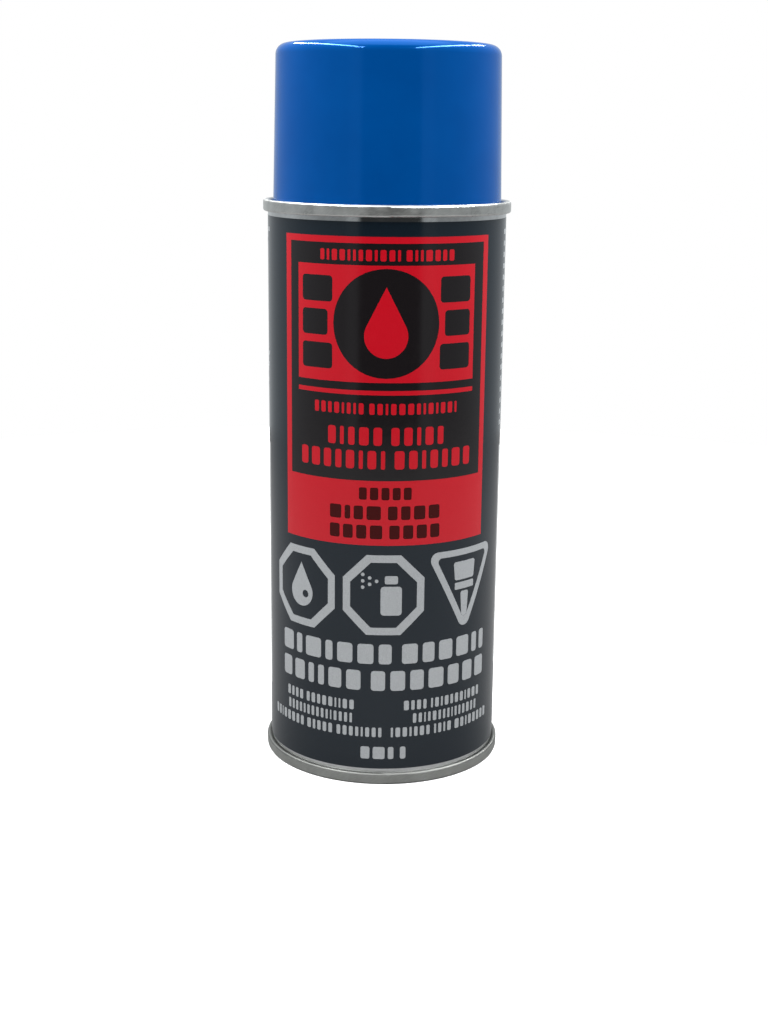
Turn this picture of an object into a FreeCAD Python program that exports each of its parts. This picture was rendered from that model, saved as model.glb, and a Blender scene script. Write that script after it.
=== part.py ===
import FreeCAD, Part
import math
import os

import Sketcher

# An aerosol spray can: a welded tinplate cylinder with a seamed top dome and bottom end, a one-inch
# spray valve, a push button, a mixing ball, and a plastic overcap that pulls off upwards.
# Millimetres. The origin is the centre of the bottom seam's resting ring, +Z runs up the can's axis,
# and the nozzle and the front of the printed label face -Y.

SIZES = {
    # The can: three pieces of tinplate, double seamed at both ends.
    "can_height": 158.75,
    "body_radius": 32.85,
    "body_plate": 0.22,
    "end_plate": 0.36,
    "seam_radius": 34.13,
    "seam_width": 1.86,
    "seam_height": 3.1,
    "seam_round": 0.6,
    "lip_round": 0.55,
    "cover_hook_gap": 0.07,
    "cover_hook_length": 1.75,
    "body_hook_radius": 33.56,
    "body_hook_drop": 0.75,
    "body_hook_length": 1.6,
    "body_hook_round": 0.45,
    "compound_width": 0.5,
    "compound_bottom": 0.45,
    "compound_top": 0.72,
    "compound_round": 0.08,
    "weld_width": 0.9,
    "weld_proud": 0.08,
    # The top dome: a trough inside the seam, a cone, and a curled one-inch mouth.
    "trough_depth": 4.85,
    "trough_round": 0.9,
    "trough_inner": 29.2,
    "cone_foot_round": 1.2,
    "shoulder_radius": 25.6,
    "shoulder_height": 160.2,
    "shoulder_round": 20.0,
    "neck_radius": 13.06,
    "neck_foot": 168.4,
    "neck_round": 0.8,
    "curl_radius": 15.04,
    "curl_top": 171.89,
    "curl_bottom": 169.9,
    "curl_end": 14.0,
    "curl_round": 0.95,
    # The bottom end: domed up into the can.
    "knuckle_height": 4.6,
    "knuckle_round": 1.0,
    "base_crown": 12.2,
    "base_corner": 15.2,
    "base_round": 66.0,
    # The mounting cup that carries the valve.
    "cup_plate": 0.3,
    "cup_rim_radius": 15.9,
    "cup_rim_bottom": 170.3,
    "cup_rim_top": 172.95,
    "cup_rim_round": 1.7,
    "cup_wall": 12.32,
    "crimp_start": 167.95,
    "crimp_radius": 13.1,
    "crimp_top": 167.2,
    "crimp_bottom": 166.5,
    "crimp_round": 0.4,
    "cup_floor": 165.7,
    "cup_floor_radius": 12.2,
    "cup_floor_round": 0.6,
    "pedestal_radius": 5.3,
    "pedestal_top": 173.9,
    "pedestal_foot_round": 1.0,
    "pedestal_round": 1.2,
    "pedestal_hole": 2.3,
    "dimple_radius": 1.6,
    "dimple_depth": 0.2,
    "dimple_height": 169.3,
    "cup_gasket_inner": 13.55,
    "cup_gasket_outer": 14.65,
    "cup_gasket_bottom": 172.27,
    "cup_gasket_top": 172.52,
    # The valve.
    "stem_gasket_outer": 4.25,
    "stem_gasket_bottom": 172.55,
    "stem_gasket_top": 173.55,
    "stem_gasket_gap": 0.04,
    "stem_radius": 1.98,
    "stem_top": 181.5,
    "stem_edge": 0.3,
    "stem_bore": 1.0,
    "stem_bore_end": 172.6,
    "stem_shoulder": 2.75,
    "stem_shoulder_top": 172.5,
    "stem_shoulder_bottom": 171.2,
    "stem_pin": 1.3,
    "stem_pin_end": 168.0,
    "stem_orifice": 0.3,
    "stem_orifice_height": 173.1,
    "housing_radius": 4.85,
    "housing_top": 172.5,
    "housing_shoulder": 168.3,
    "housing_body": 4.3,
    "housing_body_top": 167.8,
    "housing_body_bottom": 161.5,
    "housing_body_round": 0.8,
    "housing_chamber": 3.1,
    "housing_floor": 162.25,
    "housing_tail": 1.55,
    "housing_tail_top": 159.9,
    "housing_tail_end": 151.0,
    "housing_bore": 0.8,
    "spring_radius": 1.95,
    "spring_wire": 0.25,
    "spring_end_gap": 0.05,
    "spring_turns": 7.5,
    "tube_outer": 2.05,
    "tube_top": 159.3,
    "tube_bend_height": 80.0,
    "tube_bend_round": 320.0,
    "tube_tip_reach": 26.5,
    "tube_tip_height": 9.5,
    "ball_radius": 4.76,
    "ball_gap": 0.15,
    # The push button and its nozzle insert.
    "button_base": 176.2,
    "button_skirt": 8.6,
    "button_skirt_top": 179.3,
    "button_skirt_round": 0.5,
    "button_column_foot": 179.9,
    "button_column": 7.75,
    "button_head": 7.5,
    "button_top": 190.4,
    "button_top_round": 1.1,
    "button_dish_radius": 5.6,
    "button_dish_depth": 1.0,
    "button_dish_corner": 3.4,
    "button_dish_round": 8.0,
    "button_hollow": 6.5,
    "button_roof": 188.3,
    "button_post": 3.5,
    "button_post_base": 176.7,
    "socket_gap": 0.03,
    "socket_top": 181.6,
    "channel_radius": 0.9,
    "nozzle_height": 185.4,
    "boss_radius": 3.1,
    "boss_end": 6.9,
    "flat_depth": 7.0,
    "flat_width": 9.0,
    "flat_bottom": 181.0,
    "insert_radius": 2.3,
    "insert_length": 2.5,
    "insert_edge": 0.2,
    "insert_dimple": 1.1,
    "insert_dimple_depth": 0.7,
    "insert_orifice": 0.25,
    "insert_swirl": 1.4,
    "insert_swirl_depth": 1.1,
    # The overcap.
    "cap_bottom": 154.4,
    "cap_bottom_radius": 31.47,
    "cap_top": 199.7,
    "cap_top_radius": 30.44,
    "cap_top_round": 2.9,
    "cap_wall": 1.1,
    "cap_roof": 1.4,
    "cap_inner_round": 1.8,
    "cap_recess_radius": 24.0,
    "cap_recess_depth": 0.5,
    "collar_radius": 15.95,
    "collar_wall": 1.1,
    "collar_bottom": 169.6,
    "collar_step": 173.1,
    "collar_step_radius": 15.1,
    "collar_step_wall": 1.1,
    "collar_step_rise": 1.2,
    "cap_rib_width": 1.0,
    "cap_rib_bottom": 184.0,
    "cap_rib_root": 0.35,
    "cap_rib_count": 4,
    "collar_slot_width": 1.6,
    "collar_slot_top": 179.0,
    "collar_slot_count": 4,
}

DIMPLES = 6
BALL_TURN = 25
CAP_RIB_TURN = 45
QUARTER_TURN = 90
FULL_TURN = 360
DEGREES_PER_RADIAN = math.degrees(1)
TOP_SIDE = 1
NEAR = 1e-4

doc = FreeCAD.newDocument("AerosolCan")
sheet = doc.addObject("Spreadsheet::Sheet", "Sizes")
for row, (alias, number) in enumerate(SIZES.items(), start=1):
    sheet.set(f"A{row}", alias)
    sheet.set(f"B{row}", str(number))
    sheet.setAlias(f"B{row}", alias)
doc.recompute()


class Size:
    """A length in millimetres, kept together with the sheet expression that gives it."""

    def __init__(self, value, text):
        self.value = value
        self.text = text

    def joined(self, other, sign, value):
        return Size(value, f"({self.text} {sign} {as_size(other).text})")

    def __add__(self, other):
        return self.joined(other, "+", self.value + as_size(other).value)

    def __sub__(self, other):
        return self.joined(other, "-", self.value - as_size(other).value)

    def __mul__(self, other):
        return self.joined(other, "*", self.value * as_size(other).value)

    def __truediv__(self, other):
        return self.joined(other, "/", self.value / as_size(other).value)


def as_size(number):
    """A plain number as a Size; a Size unchanged."""
    if isinstance(number, Size):
        return number
    return Size(number, str(number))


def cell(alias):
    """The sheet's cell of that name."""
    return Size(float(sheet.get(alias)), f"Sizes.{alias}")


def root(size):
    """The square root of a Size."""
    return Size(math.sqrt(size.value), f"sqrt({size.text})")


def turn_between(corner, before, after):
    """The angle in degrees that a section's outline turns through at a corner."""
    incoming = math.atan2((corner[1] - before[1]).value, (corner[0] - before[0]).value)
    outgoing = math.atan2((after[1] - corner[1]).value, (after[0] - corner[0]).value)
    return abs(math.degrees(outgoing - incoming))


ZERO = Size(0.0, "0")


def bind(feature, name, size):
    """Give a feature's property its size, and keep it bound to the sheet."""
    feature.setExpression(name, as_size(size).text)


def rounding(before, corner, after, radius):
    """Where the arc that rounds a corner starts, its middle point, and where it ends."""
    to_before = (before - corner).normalize()
    to_after = (after - corner).normalize()
    half_angle = to_before.getAngle(to_after) / 2
    reach = radius / math.tan(half_angle)
    centre = corner + (to_before + to_after).normalize() * (radius / math.sin(half_angle))
    middle = centre + (corner - centre).normalize() * radius
    return corner + to_before * reach, middle, corner + to_after * reach


def constrain(sketch, kind, *references, size=None):
    """Add one constraint, bound to the sheet where it has a size."""
    if size is None:
        sketch.addConstraint(Sketcher.Constraint(kind, *references))
        return
    index = sketch.addConstraint(Sketcher.Constraint(kind, *references, size.value))
    bind(sketch, f"Constraints[{index}]", size)


def pin_point(sketch, geometry, end, place):
    """Fix one point of a sketch at its two coordinates."""
    for kind, size, axis in (("DistanceX", place[0], -2), ("DistanceY", place[1], -1)):
        if abs(size.value) < NEAR:
            constrain(sketch, "PointOnObject", geometry, end, axis)
        else:
            constrain(sketch, kind, -1, 1, geometry, end, size=size)


def outline(sketch, corners, closed=True):
    """Draw straight runs from corner to corner. A corner with a third size is rounded to it."""
    count = len(corners)
    places = [FreeCAD.Vector(corner[0].value, corner[1].value, 0) for corner in corners]
    leaves = list(places)
    arrives = list(places)
    arcs = {}
    for index, corner in enumerate(corners):
        if len(corner) == 3:
            before = places[index - 1]
            after = places[(index + 1) % count]
            arrives[index], middle, leaves[index] = rounding(
                before, places[index], after, corner[2].value
            )
            arc = Part.Arc(arrives[index], middle, leaves[index])
            arcs[index] = sketch.addGeometry(arc, False)
    run_count = count if closed else count - 1
    runs = []
    for index in range(run_count):
        run = Part.LineSegment(leaves[index], arrives[(index + 1) % count])
        runs.append(sketch.addGeometry(run, False))
    for index, corner in enumerate(corners):
        if index in arcs:
            arc = arcs[index]
            starts_here = sketch.getPoint(arc, 1).distanceToPoint(arrives[index]) < NEAR
            first, last = (1, 2) if starts_here else (2, 1)
            constrain(sketch, "Tangent", runs[index - 1], 2, arc, first)
            constrain(sketch, "Tangent", arc, last, runs[index], 1)
            constrain(sketch, "Radius", arc, size=corner[2])
            point = sketch.addGeometry(Part.Point(places[index]), True)
            constrain(sketch, "PointOnObject", point, 1, runs[index - 1])
            constrain(sketch, "PointOnObject", point, 1, runs[index])
            pin_point(sketch, point, 1, corner)
        elif index < run_count:
            if index > 0 or closed:
                constrain(sketch, "Coincident", runs[index - 1], 2, runs[index], 1)
            pin_point(sketch, runs[index], 1, corner)
        else:
            pin_point(sketch, runs[index - 1], 2, corner)


def ring(sketch, centre, *radii):
    """Draw circles about one centre."""
    for radius in radii:
        middle = FreeCAD.Vector(centre[0].value, centre[1].value, 0)
        circle = Part.Circle(middle, FreeCAD.Vector(0, 0, 1), radius.value)
        geometry = sketch.addGeometry(circle, False)
        constrain(sketch, "Radius", geometry, size=radius)
        pin_point(sketch, geometry, 3, centre)


def new_body(name):
    """An empty PartDesign body."""
    return doc.addObject("PartDesign::Body", name)


def origin_feature(body, role):
    """One of the planes or axes of a body's origin."""
    return next(item for item in body.Origin.OriginFeatures if item.Role == role)


def new_sketch(body, name, plane="XZ_Plane", lift=None, turn=0.0):
    """A sketch on one of the body's origin planes, lifted along its normal or turned upright."""
    sketch = body.newObject("Sketcher::SketchObject", name)
    sketch.AttachmentSupport = [(origin_feature(body, plane), "")]
    sketch.MapMode = "FlatFace"
    if turn:
        upright = FreeCAD.Vector(0, 1, 0)
        sketch.AttachmentOffset = FreeCAD.Placement(
            FreeCAD.Vector(), FreeCAD.Rotation(upright, turn)
        )
    if lift is not None:
        bind(sketch, "AttachmentOffset.Base.z", lift)
    return sketch


def turned(name, corners):
    """A body turned about the Z axis from a closed section of radius and height."""
    body = new_body(name)
    section = new_sketch(body, f"{name}_section")
    outline(section, corners)
    revolution = body.newObject("PartDesign::Revolution", f"{name}_turned")
    revolution.Profile = section
    revolution.ReferenceAxis = (section, ["V_Axis"])
    revolution.Angle = FULL_TURN
    body.Tip = revolution
    return body


def pressed(name, corners, plate, side):
    """A ring pressed from sheet: one skin's section, thickened by the plate and turned about Z.

    side is +1 or -1: which way from the drawn skin the thickness goes.
    """
    skin = doc.addObject("Sketcher::SketchObject", f"{name}_skin")
    skin.Placement = FreeCAD.Placement(
        FreeCAD.Vector(), FreeCAD.Rotation(FreeCAD.Vector(1, 0, 0), QUARTER_TURN)
    )
    outline(skin, corners, closed=False)
    thick = doc.addObject("Part::Offset2D", f"{name}_plate")
    thick.Source = skin
    thick.Mode = "Skin"
    thick.Join = "Intersection"
    thick.Fill = True
    bind(thick, "Value", plate * side)
    revolution = doc.addObject("Part::Revolution", name)
    revolution.Source = thick
    revolution.Axis = FreeCAD.Vector(0, 0, 1)
    revolution.Base = FreeCAD.Vector()
    revolution.Angle = FULL_TURN
    revolution.Solid = True
    return revolution


def pocket(body, sketch, length, name, reverse=False):
    """Cut a sketch into the body, against its normal unless reversed."""
    cut = body.newObject("PartDesign::Pocket", name)
    cut.Profile = sketch
    cut.Reversed = reverse
    bind(cut, "Length", length)
    body.Tip = cut
    return cut


def pad(body, sketch, length, name, both_ways=False):
    """Raise a sketch from the body along its normal, or half each way."""
    raised = body.newObject("PartDesign::Pad", name)
    raised.Profile = sketch
    raised.Midplane = both_ways
    bind(raised, "Length", length)
    body.Tip = raised
    return raised


def around(body, feature, count, name):
    """Repeat a feature evenly about the body's Z axis."""
    pattern = body.newObject("PartDesign::PolarPattern", name)
    pattern.Originals = [feature]
    pattern.Axis = (origin_feature(body, "Z_Axis"), [""])
    pattern.Angle = FULL_TURN
    bind(pattern, "Occurrences", count)
    body.Tip = pattern
    return pattern


# ---------------------------------------------------------------- the tinplate can

can_height = cell("can_height")
body_radius = cell("body_radius")
seam_radius = cell("seam_radius")
chuck_radius = seam_radius - cell("seam_width")
inner_radius = body_radius - cell("body_plate")


def at_top(depth):
    """A height given as a depth below the top seam."""
    return can_height - depth


def at_bottom(depth):
    """The same depth, measured up from the bottom seam."""
    return ZERO + depth


def seam_corners(height):
    """The seamed edge of an end, from the tip of its cover hook to its chuck wall."""
    hook_radius = body_radius + cell("cover_hook_gap")
    lip = cell("seam_height")
    return [
        (hook_radius, height(lip - cell("cover_hook_length"))),
        (hook_radius, height(lip), cell("lip_round")),
        (seam_radius, height(lip), cell("lip_round")),
        (seam_radius, height(ZERO), cell("seam_round")),
        (chuck_radius, height(ZERO), cell("seam_round")),
    ]


def hook_corners(height):
    """The flange of the cylinder, folded outwards into a body hook."""
    drop = cell("body_hook_drop")
    hook_radius = cell("body_hook_radius")
    return [
        (hook_radius, height(drop + cell("body_hook_length"))),
        (hook_radius, height(drop), cell("body_hook_round")),
        (inner_radius, height(drop), cell("body_hook_round")),
    ]


def make_can_body():
    """The printed cylinder, with its lengthwise weld at the back."""
    corners = hook_corners(at_top) + list(reversed(hook_corners(at_bottom)))
    cylinder = pressed("can_body_sheet", corners, cell("body_plate"), 1)
    weld_angle = cell("weld_width") / body_radius * DEGREES_PER_RADIAN
    weld_low = cell("seam_height")
    outside = doc.addObject("Part::Cylinder", "weld_outside")
    inside = doc.addObject("Part::Cylinder", "weld_inside")
    for wedge, radius in (
        (outside, body_radius + cell("weld_proud")),
        (inside, body_radius - cell("body_plate") / 2),
    ):
        wedge.Placement.Rotation = FreeCAD.Rotation(FreeCAD.Vector(0, 0, 1), QUARTER_TURN)
        bind(wedge, "Placement.Base.z", weld_low)
        bind(wedge, "Radius", radius)
        bind(wedge, "Height", can_height - weld_low * 2)
        bind(wedge, "Angle", weld_angle)
    weld = doc.addObject("Part::Cut", "weld")
    weld.Base = outside
    weld.Tool = inside
    can_body = doc.addObject("Part::Fuse", "can_body")
    can_body.Base = cylinder
    can_body.Tool = weld
    return can_body


def make_top_dome():
    """The cone top: seam, trough, shoulder, neck and the outward curl of the one-inch mouth."""
    trough = at_top(cell("trough_depth"))
    corners = seam_corners(at_top) + [
        (chuck_radius, trough, cell("trough_round")),
        (cell("trough_inner"), trough, cell("cone_foot_round")),
        (cell("shoulder_radius"), cell("shoulder_height"), cell("shoulder_round")),
        (cell("neck_radius"), cell("neck_foot"), cell("neck_round")),
        (cell("neck_radius"), cell("curl_top"), cell("curl_round")),
        (cell("curl_radius"), cell("curl_top"), cell("curl_round")),
        (cell("curl_radius"), cell("curl_bottom"), cell("curl_round")),
        (cell("curl_end"), cell("curl_bottom")),
    ]
    return pressed("top_dome", corners, cell("end_plate"), TOP_SIDE)


def make_bottom_end():
    """The bottom end: seam, chuck wall, knuckle and a dome that rises into the can."""
    corners = seam_corners(at_bottom) + [
        (chuck_radius, cell("knuckle_height"), cell("knuckle_round")),
        (cell("base_corner"), cell("base_crown"), cell("base_round")),
        (ZERO, cell("base_crown")),
    ]
    return pressed("bottom_end", corners, cell("end_plate"), -TOP_SIDE)


def make_seam_compound(name, height):
    """The cured sealing compound in the crown of a double seam."""
    middle = seam_radius - cell("seam_width") / 2
    inner = middle - cell("compound_width") / 2
    outer = middle + cell("compound_width") / 2
    low = height(cell("compound_top"))
    high = height(cell("compound_bottom"))
    rounded = cell("compound_round")
    corners = [
        (inner, low, rounded),
        (outer, low, rounded),
        (outer, high, rounded),
        (inner, high, rounded),
    ]
    return turned(name, corners)


# ---------------------------------------------------------------- the spray valve

def make_mounting_cup():
    """The one-inch cup: rim over the curl, crimped wall, floor and the dimpled valve pedestal."""
    top = cell("cup_rim_top")
    floor = cell("cup_floor")
    corners = [
        (cell("cup_rim_radius"), cell("cup_rim_bottom")),
        (cell("cup_rim_radius"), top, cell("cup_rim_round")),
        (cell("cup_wall"), top, cell("cup_rim_round")),
        (cell("cup_wall"), cell("crimp_start"), cell("crimp_round")),
        (cell("crimp_radius"), cell("crimp_top"), cell("crimp_round")),
        (cell("crimp_radius"), cell("crimp_bottom"), cell("crimp_round")),
        (cell("cup_floor_radius"), floor, cell("cup_floor_round")),
        (cell("pedestal_radius"), floor, cell("pedestal_foot_round")),
        (cell("pedestal_radius"), cell("pedestal_top"), cell("pedestal_round")),
        (cell("pedestal_hole"), cell("pedestal_top")),
    ]
    cup = pressed("mounting_cup_sheet", corners, cell("cup_plate"), TOP_SIDE)
    reach = cell("pedestal_radius") + cell("dimple_radius") - cell("dimple_depth")
    punches = []
    for number in range(DIMPLES):
        angle = math.radians(number * FULL_TURN / DIMPLES)
        punch = doc.addObject("Part::Sphere", f"cup_punch_{number + 1}")
        bind(punch, "Radius", cell("dimple_radius"))
        bind(punch, "Placement.Base.x", reach * math.cos(angle))
        bind(punch, "Placement.Base.y", reach * math.sin(angle))
        bind(punch, "Placement.Base.z", cell("dimple_height"))
        punches.append(punch)
    tools = doc.addObject("Part::MultiFuse", "cup_punches")
    tools.Shapes = punches
    mounting_cup = doc.addObject("Part::Cut", "mounting_cup")
    mounting_cup.Base = cup
    mounting_cup.Tool = tools
    return mounting_cup


def make_washer(name, inner, outer, low, high):
    """A flat gasket ring."""
    return turned(name, [(inner, low), (outer, low), (outer, high), (inner, high)])


def make_valve_stem():
    """The male stem: blind bore, side orifice behind the gasket, sealing shoulder, spring pin."""
    radius = cell("stem_radius")
    edge = cell("stem_edge")
    shoulder_low = cell("stem_shoulder_bottom")
    stem = turned("valve_stem", [
        (ZERO, cell("stem_bore_end")),
        (cell("stem_bore"), cell("stem_bore_end")),
        (cell("stem_bore"), cell("stem_top")),
        (radius - edge, cell("stem_top")),
        (radius, cell("stem_top") - edge),
        (radius, cell("stem_shoulder_top")),
        (cell("stem_shoulder"), cell("stem_shoulder_top")),
        (cell("stem_shoulder"), shoulder_low),
        (cell("stem_pin"), shoulder_low),
        (cell("stem_pin"), cell("stem_pin_end") + edge),
        (cell("stem_pin") - edge, cell("stem_pin_end")),
        (ZERO, cell("stem_pin_end")),
    ])
    hole = new_sketch(stem, "stem_orifice_circle")
    ring(hole, (ZERO, cell("stem_orifice_height")), cell("stem_orifice"))
    pocket(stem, hole, radius * 2, "stem_orifice_hole")
    return stem


def make_valve_housing():
    """The moulded housing: clamped rim, spring chamber, and the tail that the dip tube pushes on."""
    return turned("valve_housing", [
        (cell("housing_bore"), cell("housing_tail_end")),
        (cell("housing_tail"), cell("housing_tail_end")),
        (cell("housing_tail"), cell("housing_tail_top")),
        (cell("housing_body"), cell("housing_body_bottom"), cell("housing_body_round")),
        (cell("housing_body"), cell("housing_body_top")),
        (cell("housing_radius"), cell("housing_shoulder")),
        (cell("housing_radius"), cell("housing_top")),
        (cell("housing_chamber"), cell("housing_top")),
        (cell("housing_chamber"), cell("housing_floor")),
        (cell("housing_bore"), cell("housing_floor")),
    ])


def make_valve_spring():
    """The compression spring between the housing's floor and the stem's shoulder."""
    end_gap = cell("spring_end_gap") + cell("spring_wire")
    low = cell("housing_floor") + end_gap
    height = cell("stem_shoulder_bottom") - end_gap - low
    body = new_body("valve_spring")
    section = new_sketch(body, "spring_wire_circle")
    ring(section, (cell("spring_radius"), low), cell("spring_wire"))
    coil = body.newObject("PartDesign::AdditiveHelix", "spring_coil")
    coil.Profile = section
    coil.ReferenceAxis = (section, ["V_Axis"])
    coil.Mode = "height-turns-angle"
    bind(coil, "Height", height)
    bind(coil, "Turns", cell("spring_turns"))
    body.Tip = coil
    return body


def make_dip_tube():
    """The dip tube, curved so that its tip reaches the low valley beside the bottom's dome."""
    body = new_body("dip_tube")
    route = new_sketch(body, "tube_route", plane="YZ_Plane")
    outline(route, [
        (ZERO, cell("tube_top")),
        (ZERO, cell("tube_bend_height"), cell("tube_bend_round")),
        (cell("tube_tip_reach"), cell("tube_tip_height")),
    ], closed=False)
    section = new_sketch(body, "tube_section", plane="XY_Plane", lift=cell("tube_top"))
    ring(section, (ZERO, ZERO), cell("housing_tail"), cell("tube_outer"))
    pipe = body.newObject("PartDesign::AdditivePipe", "tube_pipe")
    pipe.Profile = section
    pipe.Spine = route
    body.Tip = pipe
    return body


def make_mixing_ball():
    """The steel ball, lying between the cylinder's wall and the bottom's dome."""
    radius = cell("ball_radius")
    reach = inner_radius - radius - cell("ball_gap")
    knuckle = (chuck_radius, cell("knuckle_height"))
    crown_corner = (cell("base_corner"), cell("base_crown"))
    slope = turn_between(crown_corner, knuckle, (ZERO, cell("base_crown")))
    arc_reach = cell("base_round") * math.tan(math.radians(slope) / 2)
    arc_centre_radius = cell("base_corner") - arc_reach
    touching = cell("base_round") + cell("end_plate") + radius + cell("ball_gap")
    across = reach - arc_centre_radius
    height = cell("base_crown") - cell("base_round") + root(touching * touching - across * across)
    ball = doc.addObject("Part::Sphere", "mixing_ball")
    turn = math.radians(BALL_TURN)
    bind(ball, "Radius", radius)
    bind(ball, "Placement.Base.x", reach * math.cos(turn))
    bind(ball, "Placement.Base.y", reach * -math.sin(turn))
    bind(ball, "Placement.Base.z", height)
    return ball


# ---------------------------------------------------------------- the push button

def make_actuator_button():
    """The spray button: skirt, column, dished finger pad, and a post with the stem socket."""
    skirt = cell("button_skirt")
    base = cell("button_base")
    roof = cell("button_roof")
    top = cell("button_top")
    dish_floor = top - cell("button_dish_depth")
    socket = cell("stem_radius") + cell("socket_gap")
    post = cell("button_post")
    nozzle = (ZERO, cell("nozzle_height"))
    button = turned("actuator_button", [
        nozzle,
        (cell("channel_radius"), cell("nozzle_height")),
        (cell("channel_radius"), cell("socket_top")),
        (socket, cell("socket_top")),
        (socket, cell("button_post_base")),
        (post, cell("button_post_base")),
        (post, roof),
        (cell("button_hollow"), roof),
        (cell("button_hollow"), base),
        (skirt, base),
        (skirt, cell("button_skirt_top"), cell("button_skirt_round")),
        (cell("button_column"), cell("button_column_foot")),
        (cell("button_head"), top, cell("button_top_round")),
        (cell("button_dish_radius"), top),
        (cell("button_dish_corner"), dish_floor, cell("button_dish_round")),
        (ZERO, dish_floor),
    ])
    boss = new_sketch(button, "boss_circle", lift=post / 2)
    ring(boss, nozzle, cell("boss_radius"))
    pad(button, boss, cell("boss_end") - post / 2, "nozzle_boss")
    flat = new_sketch(button, "flat_rectangle", lift=skirt)
    half_width = cell("flat_width") / 2
    left = ZERO - half_width
    outline(flat, [
        (left, cell("flat_bottom")),
        (half_width, cell("flat_bottom")),
        (half_width, top + skirt),
        (left, top + skirt),
    ])
    pocket(button, flat, skirt - cell("flat_depth"), "nozzle_flat")
    recess = new_sketch(button, "recess_circle", lift=cell("flat_depth"))
    ring(recess, nozzle, cell("insert_radius"))
    pocket(button, recess, cell("insert_length"), "nozzle_recess")
    channel = new_sketch(button, "channel_circle")
    ring(channel, nozzle, cell("channel_radius"))
    pocket(button, channel, cell("flat_depth"), "nozzle_channel", reverse=True)
    return button


def make_nozzle_insert():
    """The nozzle insert: orifice in a dimple in front, swirl chamber behind; its axis along -Y."""
    radius = cell("insert_radius")
    edge = cell("insert_edge")
    front = cell("insert_length")
    orifice = cell("insert_orifice")
    insert = turned("nozzle_insert", [
        (orifice, cell("insert_swirl_depth")),
        (cell("insert_swirl"), cell("insert_swirl_depth")),
        (cell("insert_swirl"), ZERO),
        (radius, ZERO),
        (radius, front - edge),
        (radius - edge, front),
        (cell("insert_dimple"), front),
        (orifice, front - cell("insert_dimple_depth")),
    ])
    insert.Placement = FreeCAD.Placement(
        FreeCAD.Vector(), FreeCAD.Rotation(FreeCAD.Vector(1, 0, 0), QUARTER_TURN)
    )
    bind(insert, "Placement.Base.y", front - cell("flat_depth"))
    bind(insert, "Placement.Base.z", cell("nozzle_height"))
    return insert


# ---------------------------------------------------------------- the overcap

def make_overcap():
    """The overcap: tapered shell, recessed top, slotted inner collar for the cup's rim, ribs."""
    top = cell("cap_top")
    roof = top - cell("cap_roof")
    shell_low = cell("cap_bottom_radius")
    shell_high = cell("cap_top_radius")
    wall = cell("cap_wall")
    recess = top - cell("cap_recess_depth")
    grip = cell("collar_radius")
    grip_outer = grip + cell("collar_wall")
    step_inner = cell("collar_step_radius")
    step_outer = step_inner + cell("collar_step_wall")
    cap = turned("overcap", [
        (ZERO, recess),
        (cell("cap_recess_radius"), recess),
        (cell("cap_recess_radius") + cell("cap_recess_depth"), top),
        (shell_high, top, cell("cap_top_round")),
        (shell_low, cell("cap_bottom")),
        (shell_low - wall, cell("cap_bottom")),
        (shell_high - wall, roof, cell("cap_inner_round")),
        (step_outer, roof),
        (step_outer, cell("collar_step") + cell("collar_step_rise")),
        (grip_outer, cell("collar_step")),
        (grip_outer, cell("collar_bottom")),
        (grip, cell("collar_bottom")),
        (grip, cell("collar_step")),
        (step_inner, cell("collar_step")),
        (step_inner, roof),
        (ZERO, roof),
    ])
    rib = new_sketch(cap, "rib_rectangle", turn=CAP_RIB_TURN)
    rib_inner = step_outer - cell("collar_step_wall") / 2
    rib_outer = shell_high - wall / 2
    outline(rib, [
        (rib_inner, cell("cap_rib_bottom")),
        (rib_outer, cell("cap_rib_bottom")),
        (rib_outer, roof + cell("cap_rib_root")),
        (rib_inner, roof + cell("cap_rib_root")),
    ])
    first_rib = pad(cap, rib, cell("cap_rib_width"), "cap_rib", both_ways=True)
    around(cap, first_rib, cell("cap_rib_count"), "cap_ribs")
    slot = new_sketch(cap, "slot_rectangle", plane="XY_Plane", lift=cell("collar_slot_top"))
    half_slot = cell("collar_slot_width") / 2
    slot_low = ZERO - half_slot
    outline(slot, [
        (step_inner - wall, slot_low),
        (grip_outer + wall, slot_low),
        (grip_outer + wall, half_slot),
        (step_inner - wall, half_slot),
    ])
    depth = cell("collar_slot_top") - cell("collar_bottom") + wall
    first_slot = pocket(cap, slot, depth, "collar_slot")
    around(cap, first_slot, cell("collar_slot_count"), "collar_slots")
    return cap


# ---------------------------------------------------------------- build, check and write

pieces = [
    make_can_body(),
    make_top_dome(),
    make_bottom_end(),
    make_seam_compound("top_seam_compound", at_top),
    make_seam_compound("bottom_seam_compound", at_bottom),
    make_mounting_cup(),
    make_washer(
        "cup_gasket",
        cell("cup_gasket_inner"),
        cell("cup_gasket_outer"),
        cell("cup_gasket_bottom"),
        cell("cup_gasket_top"),
    ),
    make_washer(
        "stem_gasket",
        cell("stem_radius") + cell("stem_gasket_gap"),
        cell("stem_gasket_outer"),
        cell("stem_gasket_bottom"),
        cell("stem_gasket_top"),
    ),
    make_valve_stem(),
    make_valve_housing(),
    make_valve_spring(),
    make_dip_tube(),
    make_mixing_ball(),
    make_actuator_button(),
    make_nozzle_insert(),
    make_overcap(),
]
doc.recompute()

for item in doc.Objects:
    failed = {"Invalid", "Error"} & set(item.State)
    if failed:
        raise RuntimeError(f"{item.Name} is {sorted(failed)}")
    if item.TypeId == "PartDesign::Pocket":
        if item.Shape.Volume >= item.BaseFeature.Shape.Volume - NEAR:
            raise RuntimeError(f"{item.Name} cuts nothing")

for piece in pieces:
    if piece.Shape.isNull() or not piece.Shape.isValid():
        raise RuntimeError(f"{piece.Label} has no valid shape")
    if not piece.Shape.Solids:
        raise RuntimeError(f"{piece.Label} is not a solid")

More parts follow.
